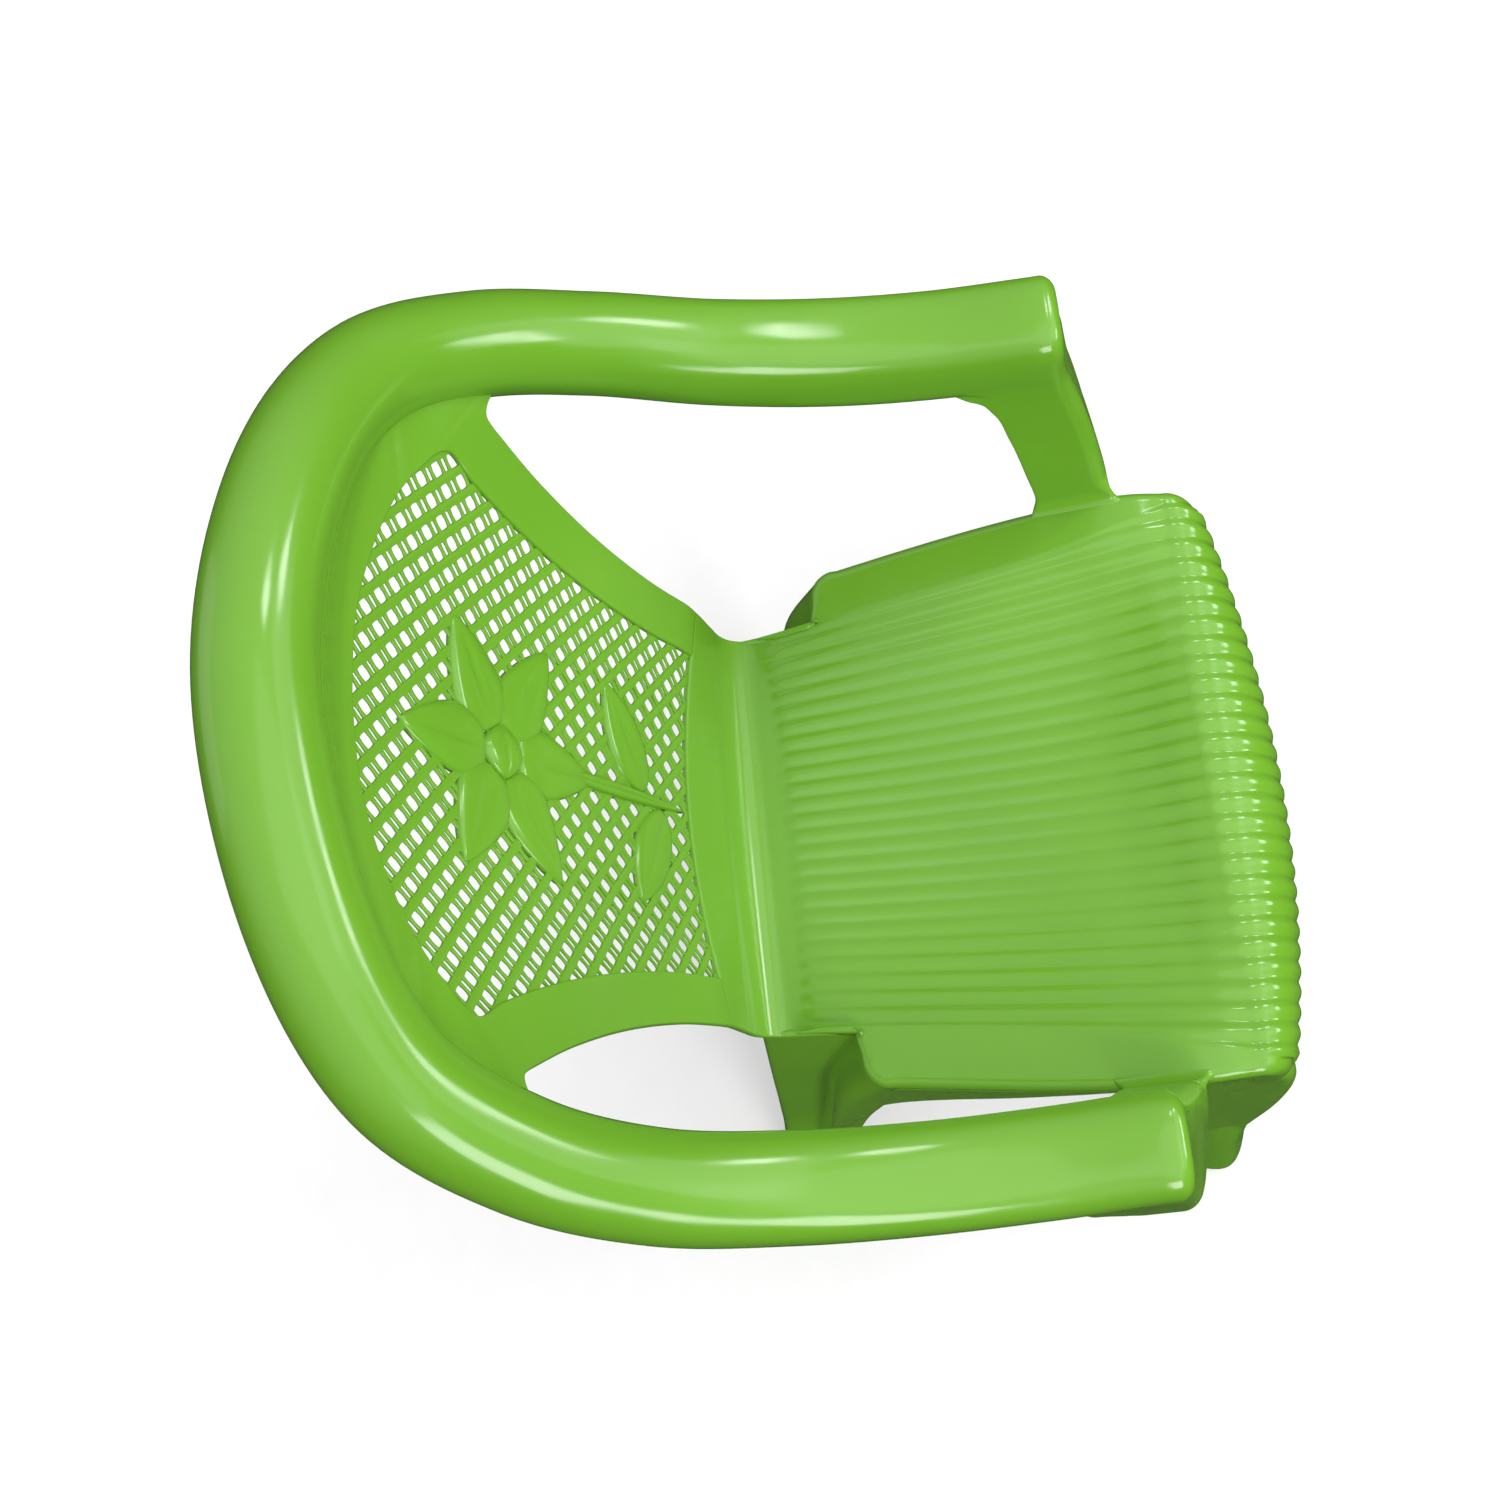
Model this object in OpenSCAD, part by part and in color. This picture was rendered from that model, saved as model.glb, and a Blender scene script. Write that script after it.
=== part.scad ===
// Child's one-piece monobloc armchair in injection-moulded polypropylene.
// Millimetres, +Z up, the sitter faces -Y, and the floor is z = 0 under the middle of the chair.
// The real chair is a single moulding. Each module is one region of it, cut where regions meet.

/* [Shell] */
// Wall thickness of the moulding
wall = 3; // [2.5:0.1:3.5]

/* [Arm and top rail] */
// Radius of the rail's section
rail_r = 20.5; // [19:0.5:22]
// Squareness of the armrests' section: 2 is round, 4 is boxy
arm_square = 3; // [2:0.1:4]

/* [Back] */
// Backward lean of the back panel, as run over rise
lean = 0.37; // [0.34:0.01:0.40]
// Sideways bow of the back panel, as sag per square millimetre
bow = 0.00115; // [0.0008:0.00005:0.0015]
// Distance between lattice holes along a row
hole_pitch = 12.3; // [11:0.1:15]
// Width of a lattice bar
bar_w = 4.6; // [3.5:0.1:6]
// Thickness of the lattice
lattice_t = 3; // [2.4:0.1:3.6]
// Height of the flower relief in front of the lattice
relief_t = 2.4; // [1.5:0.1:2.8]

/* [Seat] */
// Number of ribs across the seat
rib_count = 28; // [20:2:32]
// Height of a rib
rib_h = 1.6; // [0.8:0.1:2.4]
// Depth of the dished pan below its sides
dish = 19; // [8:1:22]
// Height of the roll's lower lip in the middle
lip_z = 166; // [156:1:180]

/* [Hidden] */
lime = [0.46, 0.76, 0.2];
lime_deep = [0.36, 0.68, 0.18];

// Centreline of the rail's right half, from the front of the armrest to the crown
rail_path = [[168, -99, 349], [169.5, -58, 349.5], [170.5, -14, 357], [170, 32, 375],
             [166.5, 76, 405], [153.5, 114, 442], [126, 144.5, 480], [72, 160, 514],
             [0, 166, 529.5]];
shoulder = 5;          // place along rail_path where the armrest becomes the top rail
crown = 8;             // place along rail_path of the middle of the top rail
panel_base = [73.7, 281];   // y and z of the panel's middle at the lattice's lower corners
mesh_half = 74;        // half width of the lattice at its foot
crease = [46.7, 233.5];     // y and z of the line where seat and back meet
notch_y = 18;          // back end of the side flanges
roll_y = -150;         // where the seat starts to curve down

// ---------- helpers ----------
function unit(v) = v / norm(v);
function mix(a, b, t) = a + (b - a) * t;
function smooth(t) = let(c = min(max(t, 0), 1)) c * c * (3 - 2 * c);
function steps(a, b, n) = [for (i = [0:n]) mix(a, b, i / n)];

// Catmull-Rom curve through the points p, at place s counted in points
function curve(p, s) =
    let(n = len(p) - 1,
        i = max(min(floor(s), n - 1), 0),
        t = s - i,
        p1 = p[i],
        p2 = p[i + 1],
        p0 = i > 0 ? p[i - 1] : 2 * p1 - p2,
        p3 = i < n - 1 ? p[i + 2] : 2 * p2 - p1)
    0.5 * (2 * p1 + (p2 - p0) * t + (2 * p0 - 5 * p1 + 4 * p2 - p3) * t * t
           + (3 * p1 - p0 - 3 * p2 + p3) * t * t * t);

// Normal of a grid of points, from its neighbours
function grid_normal(g, i, j) =
    let(di = g[min(i + 1, len(g) - 1)][j] - g[max(i - 1, 0)][j],
        dj = g[i][min(j + 1, len(g[0]) - 1)] - g[i][max(j - 1, 0)])
    unit(cross(di, dj));
function offset_grid(g, t) =
    [for (i = [0:len(g) - 1]) [for (j = [0:len(g[0]) - 1]) g[i][j] + t * grid_normal(g, i, j)]];

// Closed solid between two grids of equal size; b lies on the side that a's normals point to
module solid_between(a, b) {
    n = len(a);
    m = len(a[0]);
    k = n * m;
    faces = concat(
        [for (i = [0:n - 2], j = [0:m - 2])
            let(p = i * m + j)
            each [[p, p + m, p + 1], [p + m, p + m + 1, p + 1],
                  [k + p, k + p + 1, k + p + m], [k + p + m, k + p + 1, k + p + m + 1]]],
        [for (j = [0:m - 2], s = [0, 1])
            let(p = s * (n - 1) * m + (s == 0 ? j : j + 1), q = s == 0 ? p + 1 : p - 1)
            each [[p, q, q + k], [p, q + k, p + k]]],
        [for (i = [0:n - 2], s = [0, 1])
            let(p = (s == 0 ? i + 1 : i) * m + s * (m - 1), q = s == 0 ? p - m : p + m)
            each [[p, q, q + k], [p, q + k, p + k]]]);
    polyhedron([for (g = [a, b], row = g, v = row) v], faces, convexity = 12);
}
// The moulded wall behind an outer face given as a grid
module skin(g, t = wall) solid_between(g, offset_grid(g, t));
// The same for an upright wall whose normals point outwards, offset level so that its ends stay flat
module upright_skin(g) {
    inner = offset_grid(g, -wall);
    solid_between([for (i = [0:len(g) - 1])
                      [for (j = [0:len(g[0]) - 1]) [inner[i][j][0], inner[i][j][1], g[i][j][2]]]], g);
}
module mirrored() mirror([1, 0, 0]) children();

// ---------- surfaces ----------
// Front face of the back panel
function panel_y(x, z) =
    panel_base[0] + lean * (z - panel_base[1]) - bow * smooth((z - 240) / 55) * x * x;
function on_panel(x, z, back = 0) =
    let(n = unit([2 * bow * x, 1, -lean])) [x, panel_y(x, z), z] + back * n;
// Outline of the lattice: half width at a height, lower edge and upper edge at a half width
function mesh_x(z) = mesh_half + 0.00114 * pow(max(z - 281, 0), 2);
function mesh_low(x) = 284.5 - 3.5 * pow(x / mesh_half, 2);
function mesh_high(x) = 487.5 - 0.0016 * x * x - 1.2e-7 * pow(x, 4);

// Outer line of the side flange, and the line where it meets the dished pan
function flange_x(y) = lookup(y, [[roll_y, 135], [-127, 136], [-95, 134.5], [notch_y, 120.6]]);
function pan_x(y) =
    lookup(y, [[roll_y, 128], [-127, 120], [-95, 111.5], [-60, 105.5], [notch_y, 96.5], [crease[0], 93.5]]);
// Height of the pan's sides, and how much of the dish's depth the middle has at each depth
function side_z(y) =
    lookup(y, [[roll_y, 240], [-140, 242.5], [-127, 243.5], [-95, 242], [notch_y, 237], crease]);
function middle_drop(y) =
    lookup(y, [[roll_y, 0.35], [-142, 0.55], [-130, 0.8], [-115, 0.97], [-95, 1],
               [-60, 0.93], [-20, 0.72], [10, 0.45], [30, 0.2], [crease[0], 0]]);
function seat_z(x, y) =
    let(u = min(abs(x) / pan_x(y), 1))
    side_z(y) - dish * middle_drop(y) * (1 - pow(u, 2.6));

// The roll: a = 0 at the crest, 90 at the foremost line, over 90 down the apron
function roll_front(x) = -185 + 0.001 * x * x;
function roll_z(x) = 191 + 0.0013 * x * x;
function roll_point(x, a) =
    let(top = seat_z(x, roll_y),
        reach = roll_y - roll_front(x),
        c = min(a, 90))
    [x, roll_y - reach * sin(c), mix(roll_z(x), top, cos(c))]
    + (a > 90 ? [0, 0.03, -1] * (a - 90) / 30 * (roll_z(x) - apron_low(x)) : [0, 0, 0]);
function apron_low(x) = lip_z - 14 * pow(abs(x) / 128, 2);
function roll_places() = concat(steps(0, 90, 6), [105, 120]);
// Across the roll: ribbed middle, then a side rounded down into a rim. Negative side for -X.
roll_half = 130;
rim_r = 5;
function roll_side(side, a, b, down) =
    let(c = min(a, 90))
    roll_point(side * (roll_half + rim_r * sin(b)), a)
    - (rim_r * (1 - cos(b)) + down) * [0, -sin(c), cos(c)];
function roll_row(a) =
    concat([roll_side(1, a, 90, 9)], [for (b = [90, 60, 30]) roll_side(1, a, b, 0)],
           [for (u = steps(1, -1, 20)) roll_point(u * roll_half, a)],
           [for (b = [30, 60, 90]) roll_side(-1, a, b, 0)], [roll_side(-1, a, 90, 9)]);

// ---------- the rail ----------
function mirror_x(p) = [-p[0], p[1], p[2]];
function rail_full() = concat(rail_path, [mirror_x(rail_path[crown - 1])]);
function rail_point(s) =
    s <= crown ? curve(rail_full(), s) : mirror_x(curve(rail_full(), 2 * crown - s));
function rail_axes(s) =
    let(t = unit(rail_point(s + 0.02) - rail_point(s - 0.02)),
        open = [0, 0.6, -0.8],
        up = -unit(open - (open * t) * t))
    [cross(t, up), up];
// The section is a channel, open below. Its radius is a superellipse's, so that the armrests are
// squarer than the top rail.
section_angles = steps(212, -32, 12);
function section_r(a, e) = 1 / pow(pow(abs(cos(a)), e) + pow(abs(sin(a)), e), 1 / e);
function squareness(s) = mix(arm_square, 2, smooth((min(s, 2 * crown - s) - 1.5) / 3));
function rail_ring(s, r) =
    let(c = rail_point(s), ax = rail_axes(s), e = squareness(s))
    [for (a = section_angles) c + r * section_r(a, e) * (cos(a) * ax[0] + sin(a) * ax[1])];
module rail(s0, s1, n)
    solid_between([for (s = steps(s0, s1, n)) rail_ring(s, rail_r)],
                  [for (s = steps(s0, s1, n)) rail_ring(s, rail_r - wall)]);

module top_rail() color(lime) rail(shoulder, 2 * crown - shoulder, 22);

// The armrest, closed at its front by a rounded end
arm_front = -111;
function end_ring(y, k, r) =
    [for (a = section_angles)
        [rail_path[0][0], y, rail_path[0][2]] + k * r * section_r(a, arm_square) * [cos(a), 0, sin(a)]];
module arm() {
    // Each ring of the rounded end is [y, part of the full section]
    ends = [[arm_front, 0.1], [arm_front, 0.7], [arm_front + 1.4, 0.87], [arm_front + 5, 0.97]];
    places = steps(0, shoulder, 15);
    solid_between(
        concat([for (q = ends) end_ring(q[0], q[1], rail_r)], [for (s = places) rail_ring(s, rail_r)]),
        concat([for (q = ends) end_ring(q[0] + wall, q[1], rail_r - wall)],
               [for (s = places) rail_ring(s, rail_r - wall)]));
}
module arm_right() color(lime) arm();
module arm_left() color(lime) mirrored() arm();

// ---------- posts ----------
// A channel open to the back and below the armrest: an inner wall, a front wall and an outer wall
// that sweeps in to the flange at the bottom
function inner_x(z) = lookup(z, [[238, 133.5], [243, 134], [270, 138], [300, 143.5], [336, 150]]);
function outer_x(z) =
    lookup(z, [[238, 139], [250, 144], [262, 162], [272, 177], [288, 188], [310, 190], [336, 187.5]]);
function post_front(z) =
    lookup(z, [[238, -127.5], [262, -125.5], [288, -121.5], [310, -117], [336, -111], [346, -110.5]]);
// Rear edges of the inner wall and of the outer wall
function post_rear(z) =
    lookup(z, [[238, -93], [243, -95], [270, -90.5], [300, -85], [322, -79], [336, -68]]);
function return_rear(z) =
    lookup(z, [[238, -119], [250, -117], [262, -110], [288, -98], [310, -86], [336, -70]]);
function post_row(z) =
    let(xi = inner_x(z), xo = outer_x(z), yf = post_front(z), r = min(6, (xo - xi) / 2.2))
    concat([for (t = steps(post_rear(z), yf + r, 2)) [xi, t, z]],
           [for (a = [22.5, 45, 67.5]) [xi + r - r * cos(a), yf + r - r * sin(a), z]],
           [[xi + r, yf, z], [xo - r, yf, z]],
           [for (a = [22.5, 45, 67.5]) [xo - r + r * sin(a), yf + r - r * cos(a), z]],
           [for (t = steps(yf + r, return_rear(z), 1)) [xo, t, z]]);
module post()
    skin([for (z = [238, 243, 250, 256, 262, 267, 272, 280, 288, 300, 310, 322, 336, 346]) post_row(z)]);
module post_right() color(lime) post();
module post_left() color(lime) mirrored() post();

// ---------- back ----------
// Border between lattice and rail: inner line on the lattice's outline, outer line at the free
// edge of the side strip and then inside the rail. The third number is how far the outer line
// comes forward of the panel to meet the rail.
border_in = [[74, 281], [75.7, 320], [81.5, 362], [90, 400], [100, 432], [107, 449.5], [96, 462.5],
             [74, 475], [38, 485], [0, 487.5]];
border_out = [[93.7, 281, 0], [96, 320, 0], [102.3, 360, 0], [112, 398, 0], [122.5, 428, 0],
              [131, 451, 4], [113.5, 472.5, 3], [91, 489, 4], [47, 510, 8], [0, 517, 10]];
function border_point(s, t) =
    let(a = curve(border_in, s),
        b = curve(border_out, s),
        x = mix(a[0], b[0], t),
        z = mix(a[1], b[1], t))
    [x, panel_y(x, z) - b[2] * t * t, z];
module half_border()
    skin([for (s = steps(0, 9, 27)) [for (t = steps(1, 0, 4)) border_point(s, t)]]);
module back_frame() color(lime) {
    mirrored() half_border();
    half_border();
}

// The lattice is built from diamond cells, each with a diamond hole. Its corners lie on a lattice
// of half pitches, so that neighbouring cells share them exactly.
hole_rise = hole_pitch * 1.1;
hole_part = 1 - bar_w * norm([hole_pitch, hole_rise]) / (hole_pitch * hole_rise);
mesh_mid = 385;        // height of a row of hole centres
flower = [0, 408];     // x and z of the flower's middle
function cell_x(a) = a * hole_pitch / 2;
function cell_z(b) = mesh_mid + b * hole_rise / 2;
function in_mesh(x, z, e) = z > mesh_low(x) + e && z < mesh_high(x) - e && abs(x) < mesh_x(z) - e;
function has_cell(a, b) =
    (a + b) % 2 == 0 && in_mesh(cell_x(a), cell_z(b), -4.5);
// Corner number q (0 to 3) of cell a, b: the cell's own corner for part 1, the hole's for hole_part
function cell_corner(a, b, q, part, back) =
    let(c = [[1, 0], [0, 1], [-1, 0], [0, -1]][q])
    on_panel(cell_x(a + c[0] * part), cell_z(b + c[1] * part), back);
// The 16 points of a cell: its corners and its hole's corners, in front and then behind
function cell_points(a, b) =
    [for (back = [wall, wall + lattice_t], part = [1, hole_part], q = [0:3])
        cell_corner(a, b, q, part, back)];
// The lattice has no holes behind the relief: the petals, the stem and the leaves
function filled(a, b) =
    let(x = abs(cell_x(a)), z = cell_z(b))
    norm([x, z - flower[1]]) < 46 || (x < 8 && z < flower[1])
    || (x < 36 && abs(z - 315 - 0.6 * x) < 9);
// Faces of a solid cell, and of the side of a cell between corners q and r, whose points start at k
function solid_faces(k) =
    [[k, k + 3, k + 1], [k + 2, k + 1, k + 3], [k + 8, k + 9, k + 11], [k + 10, k + 11, k + 9]];
function side_faces(k, q, r) =
    [[k + q, k + 4 + q, k + r], [k + 4 + q, k + 4 + r, k + r],
     [k + 8 + q, k + 8 + r, k + 12 + q], [k + 12 + q, k + 8 + r, k + 12 + r],
     [k + 4 + q, k + 12 + q, k + 4 + r], [k + 12 + q, k + 12 + r, k + 4 + r]];
function outer_faces(k, q, r) = [[k + q, k + r, k + 8 + q], [k + 8 + q, k + r, k + 8 + r]];
// A cell has outer walls only where no neighbour stands
function cell_faces(a, b, k) =
    concat(filled(a, b) ? solid_faces(k) : [for (q = [0:3]) each side_faces(k, q, (q + 1) % 4)],
           [for (q = [0:3])
               let(next = [[1, 1], [-1, 1], [-1, -1], [1, -1]][q])
               if (!has_cell(a + next[0], b + next[1])) each outer_faces(k, q, (q + 1) % 4)]);
module back_lattice() color(lime) {
    cells = [for (a = [-18:18], b = [-16:16]) if (has_cell(a, b)) [a, b]];
    polyhedron([for (c = cells) each cell_points(c[0], c[1])],
               [for (i = [0:len(cells) - 1]) each cell_faces(cells[i][0], cells[i][1], 16 * i)],
               convexity = 20);
}

// A plain six-petalled flower on a stem with two leaves, moulded solid on the lattice
module leaf(at, angle, length, half_w, rise) {
    dir = [cos(angle), sin(angle)];
    side = [-sin(angle), cos(angle)];
    rows = [for (v = steps(0, 1, 6))
        [for (u = [1, 0, -1])
            let(p = at + dir * length * v + side * half_w * u * (0.2 + 0.8 * sin(180 * v)))
            on_panel(p[0], p[1], wall - rise * (1 - 0.6 * abs(u)) * (0.5 + 0.5 * sin(180 * v)))]];
    solid_between(rows, [for (row = rows) [for (p = row) on_panel(p[0], p[2], wall)]]);
}
module back_relief() color(lime) {
    for (k = [0:5])
        leaf(flower + 13 * [cos(60 * k + 30), sin(60 * k + 30)], 60 * k + 30, 40, 13, relief_t);
    leaf(flower + [-12, 0], 0, 24, 11, relief_t);
    leaf([0, 290], 90, 92, 4, relief_t);
    leaf([5, 318], 32, 46, 11, relief_t);
    leaf([-5, 306], 150, 46, 11, relief_t);
}

// Smooth concave band from the seat's crease up to the lattice
function band_top(x) = abs(x) < mesh_half ? mesh_low(x) : 281;
function band_point(x, v) =
    let(foot = [x, crease[0], crease[1]],
        bend = [x, 61.5, crease[1]],
        start = [x, panel_y(x, 256), 256],
        t = min(v * 2, 1),
        z = mix(256, band_top(x), 2 * v - 1))
    v <= 0.5 ? mix(mix(foot, bend, t), mix(bend, start, t), t) : [x, panel_y(x, z), z];
module lumbar_band() color(lime)
    skin([for (v = steps(0, 1, 10)) [for (u = steps(-1, 1, 16)) band_point(93.7 * u, v)]]);

// ---------- seat ----------
pan_ys = [crease[0], 36, 26, notch_y, 0, -20, -40, -60, -80, -100, -115, -128, -140, roll_y];
module seat_pan() color(lime_deep)
    skin([for (y = pan_ys) [for (u = steps(1, -1, 18)) [u * pan_x(y), y, seat_z(u * pan_x(y), y)]]]);

// Ribs fan out towards the front and run on over the roll
function rib_pitch(y) = (7.86 - 0.0098 * y) * 28 / rib_count;
function rib_x(k, y) = k * rib_pitch(y);
module rib(k) {
    y0 = min(concat([42], [for (y = [40:-4:-140]) if (abs(rib_x(k, y)) > pan_x(y) - 3) y - 4]));
    flat = [for (y = steps(y0, roll_y, 5))
        [for (u = [1, 0, -1])
            let(x = rib_x(k, y) + 0.4 * u * rib_pitch(y))
            [x, y, seat_z(x, y) + (y == y0 ? 0.2 : rib_h * (1 - abs(u)))]]];
    over = [for (a = [18, 36, 54, 72, 90, 120])
        [for (u = [1, 0, -1])
            let(x = rib_x(k, roll_y) + 0.4 * u * rib_pitch(roll_y), h = rib_h * (1 - abs(u)))
            roll_point(x, a) + h * [0, -sin(min(a, 90)), cos(min(a, 90))]]];
    skin(concat(flat, over), 0.8);
}
module seat_ribs() color(lime)
    for (k = [0.5 - rib_count / 2:rib_count / 2 - 0.5])
        rib(k);

// Smooth side flange with a rolled-down rim
function flange_row(y) =
    let(x0 = pan_x(y), x1 = flange_x(y), z = side_z(y))
    concat([for (t = steps(0, 1, 3)) [mix(x0, x1 - 5, t), y, z]],
           [for (a = [30, 60, 90]) [x1 - 5 + 5 * sin(a), y, z - 5 + 5 * cos(a)]],
           [[x1 + 0.3, y, z - 10]]);
module flange()
    skin([for (y = [roll_y, -140, -127, -111, -95, -70, -40, -10, 8, notch_y]) flange_row(y)]);
module seat_flange_right() color(lime) flange();
module seat_flange_left() color(lime) mirrored() flange();

module front_roll() color(lime)
    skin([for (a = roll_places()) roll_row(a)]);

// ---------- skirts and legs ----------
// Lower line of the side skirt: an arch from the post back to the rear leg
function skirt_low(y) = lookup(y, [[-95, 227], [-70, 222], [-43, 212], [-17, 203], [8, 186]]);
module skirt()
    skin([for (y = [-95, -82, -70, -43, -17, 8])
        let(top = side_z(y) - 10)
        [for (z = steps(top, skirt_low(y), 3)) [flange_x(y) + 0.3 + 0.05 * (top - z), y, z]]]);
module skirt_right() color(lime_deep) skirt();
module skirt_left() color(lime_deep) mirrored() skirt();

// Rounded corner between two walls, as points from angle 0 to 90 in plan
function corner(x, y, r) =
    [for (a = steps(0, 90, 4)) [x - r + r * sin(a), y + r - r * cos(a)]];

// Front leg: front wall under the roll, rounded corner and side wall, flaring to the foot.
// Each level is [z, x of the inner end, x of the side wall, y of the front, y of the back, corner radius].
front_leg_levels = [[229, 127.5, 134, -156, -122, 6], [214, 127.5, 134.5, -165, -108, 6.5],
                    [200, 127, 135.3, -169, -101, 7], [180, 125, 136.5, -170.5, -103, 7],
                    [160, 110, 137.6, -170, -107, 7], [120, 107, 140.5, -167, -113, 8],
                    [90, 109, 143, -163.5, -117, 10], [70, 113, 145.5, -160.5, -119, 12],
                    [40, 119, 150.5, -158.5, -121, 14], [0, 126, 158, -159, -124, 16]];
function leg_row(q) =
    concat([for (t = [0, 0.5]) [mix(q[1], q[2] - q[5], t), q[3], q[0]]],
           [for (p = corner(q[2], q[3], q[5])) [p[0], p[1], q[0]]],
           [for (t = [0.5, 1]) [q[2], mix(q[3] + q[5], q[4], t), q[0]]]);
module foot(points) linear_extrude(wall) offset(delta = -0.8) polygon(points);
module front_leg() {
    upright_skin([for (q = front_leg_levels) leg_row(q)]);
    foot(concat([[126, -159]], corner(158, -159, 16), [[158, -124], [140, -124], [126, -136]]));
}
module front_leg_right() color(lime_deep) front_leg();
module front_leg_left() color(lime_deep) mirrored() front_leg();

// Rear leg: outer panel that carries on from the skirt, a step, a recessed panel and a rear wall.
// Each level is [z, then x and y of the outer panel's front, its rear, the recess's front, its rear
// and the end of the rear wall].
rear_leg_levels = [[236, [121, 8], [120, 18.5], [97, 20.5], [94, 60.5], [72, 61]],
                   [195, [123.6, 12], [123, 34], [103.5, 37], [99.8, 65.5], [78, 66]],
                   [155, [125.5, 26], [126, 43.5], [109, 46], [105.5, 70.2], [86, 70.7]],
                   [130, [127.3, 33], [127.5, 48], [113, 51], [109, 73], [91, 73.5]],
                   [100, [129.5, 41.5], [131, 53], [119, 58], [113.3, 76.5], [97, 77]],
                   [70, [131.5, 50], [135, 57.5], [127, 65], [118.5, 80], [103, 80.5]],
                   [40, [133, 57], [140, 63], [137, 72.5], [126.5, 84], [111, 84.5]],
                   [0, [135, 64.5], [147, 70], [147, 80], [137, 88], [119, 88]]];
function rear_row(q) =
    [for (i = [1:4], t = steps(0, 1, 2))
        if (i == 4 || t < 1) let(p = mix(q[i], q[i + 1], t)) [p[0], p[1], q[0]]];
module rear_leg() {
    upright_skin([for (q = rear_leg_levels) rear_row(q)]);
    foot([[135, 64.5], [147, 70], [147, 80], [137, 88], [119, 88], [119, 72]]);
}
module rear_leg_right() color(lime_deep) rear_leg();
module rear_leg_left() color(lime_deep) mirrored() rear_leg();

top_rail();
arm_right();
arm_left();
post_right();
post_left();
back_frame();
back_lattice();
back_relief();
lumbar_band();
seat_pan();
seat_ribs();
seat_flange_right();
seat_flange_left();
front_roll();
skirt_right();
skirt_left();
front_leg_right();
front_leg_left();
rear_leg_right();
rear_leg_left();
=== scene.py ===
"""A child's one-piece moulded armchair: a glossy lime shell with a ribbed seat and a lattice back.

The shapes are worked out in millimetres and turned into metres when a mesh is made.
+Z is up and the sitter faces -Y. Every piece is part of one rigid moulding, the body "root".
"""
import math

import bmesh
import bpy
import numpy as np
from mathutils import Matrix, Vector


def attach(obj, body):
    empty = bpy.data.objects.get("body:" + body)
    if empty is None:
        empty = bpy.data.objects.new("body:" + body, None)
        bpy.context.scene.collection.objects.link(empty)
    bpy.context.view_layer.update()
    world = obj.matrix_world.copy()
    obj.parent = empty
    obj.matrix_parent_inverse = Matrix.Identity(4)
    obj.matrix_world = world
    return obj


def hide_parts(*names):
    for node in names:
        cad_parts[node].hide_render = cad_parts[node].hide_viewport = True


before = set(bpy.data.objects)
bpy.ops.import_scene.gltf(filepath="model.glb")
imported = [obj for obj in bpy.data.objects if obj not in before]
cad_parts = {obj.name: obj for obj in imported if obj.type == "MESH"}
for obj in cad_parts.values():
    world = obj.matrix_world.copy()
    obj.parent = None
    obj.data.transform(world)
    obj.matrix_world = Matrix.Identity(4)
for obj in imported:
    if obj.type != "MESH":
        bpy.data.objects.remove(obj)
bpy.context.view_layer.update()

MM = 0.001
WALL = 3.0                 # thickness of the moulding
EDGE = 0.8                 # how far a free edge is rounded out
RIM_TURNS = [math.radians(d) for d in (30, 60, 90, 120, 150)]  # angles round a rounded free edge

LEAN = 0.37                # backward lean of the back panel
BOW = 0.00115              # its sideways bow
PANEL_BASE = (73.7, 281.0)  # y and z of the panel's middle at the lattice's lower corners
MESH_HALF = 74.0           # half width of the lattice at its foot
STRIP_HALF = 93.6          # half width of the back at its foot
CREASE = (46.7, 233.5)     # y and z of the line where seat and back meet
NOTCH_Y = 18.0             # back end of the side flanges
ROLL_Y = -150.0            # where the seat starts to curve down
ROLL_HALF = 128.0          # half width of the ribbed roll there
ROLL_SIDE = 135.0          # half width of the roll with its sides
DISH = 19.0                # depth of the pan below its sides
RIB_HEIGHT = 1.5           # height of a rib's crest where the ribs are highest
PIECES = {}                # every finished piece by its name


# ---------- numbers and curves ----------
def mix(a, b, t):
    """Blend from a to b as t goes from 0 to 1."""
    return a + (b - a) * t


def smooth(t):
    """Blend factor with a gentle start and end, 0 below t = 0 and 1 above t = 1."""
    t = np.clip(t, 0.0, 1.0)
    return t * t * (3 - 2 * t)


def unit(v):
    """The vectors' directions, as vectors of length 1."""
    v = np.asarray(v, float)
    return v / np.maximum(np.linalg.norm(v, axis=-1, keepdims=True), 1e-12)


def through(x, pairs):
    """Smooth function of x through the given (x, value) pairs, flat-ended outside them."""
    table = np.array(sorted(pairs), float)
    xs, ys = table[:, 0], table[:, 1]
    slope = np.gradient(ys, xs)
    x = np.clip(np.asarray(x, float), xs[0], xs[-1])
    i = np.clip(np.searchsorted(xs, x) - 1, 0, len(xs) - 2)
    h = xs[i + 1] - xs[i]
    t = (x - xs[i]) / h
    return ((2 * t**3 - 3 * t**2 + 1) * ys[i] + (t**3 - 2 * t**2 + t) * h * slope[i]
            + (3 * t**2 - 2 * t**3) * ys[i + 1] + (t**3 - t**2) * h * slope[i + 1])


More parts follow.
